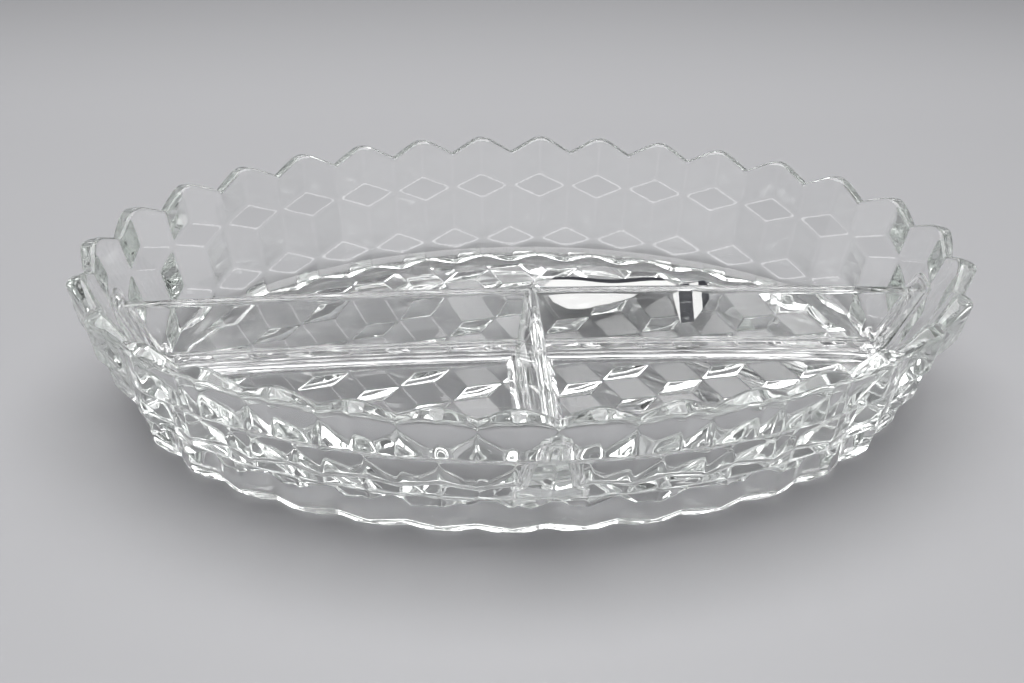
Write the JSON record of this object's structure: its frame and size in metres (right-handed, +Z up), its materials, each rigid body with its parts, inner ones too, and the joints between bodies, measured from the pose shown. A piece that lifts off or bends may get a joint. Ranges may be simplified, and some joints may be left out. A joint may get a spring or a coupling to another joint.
{
  "type": "divided oval serving dish",
  "caption": "Clear pressed-glass oval dish with a zigzag rim, stacked-cube relief outside and underneath, and dividers making one long and two short compartments; a loose paper label lies inside.",
  "frame": {"origin": "centre of the oval, on the plane the dish rests on", "axes": "+X along the oval's long axis, +Z up, the side with one long compartment towards +Y and the two short ones towards -Y"},
  "size_m": [0.2492, 0.1498, 0.0498],
  "materials": {
    "glass": "clear pressed glass, fire-polished, very slightly grey-green in thick places",
    "label_paper": "white coated paper, black bars across one end"
  },
  "bodies": {
    "root": {"glass_dish": "glass", "price_label": "label_paper"}
  },
  "joints": []
}
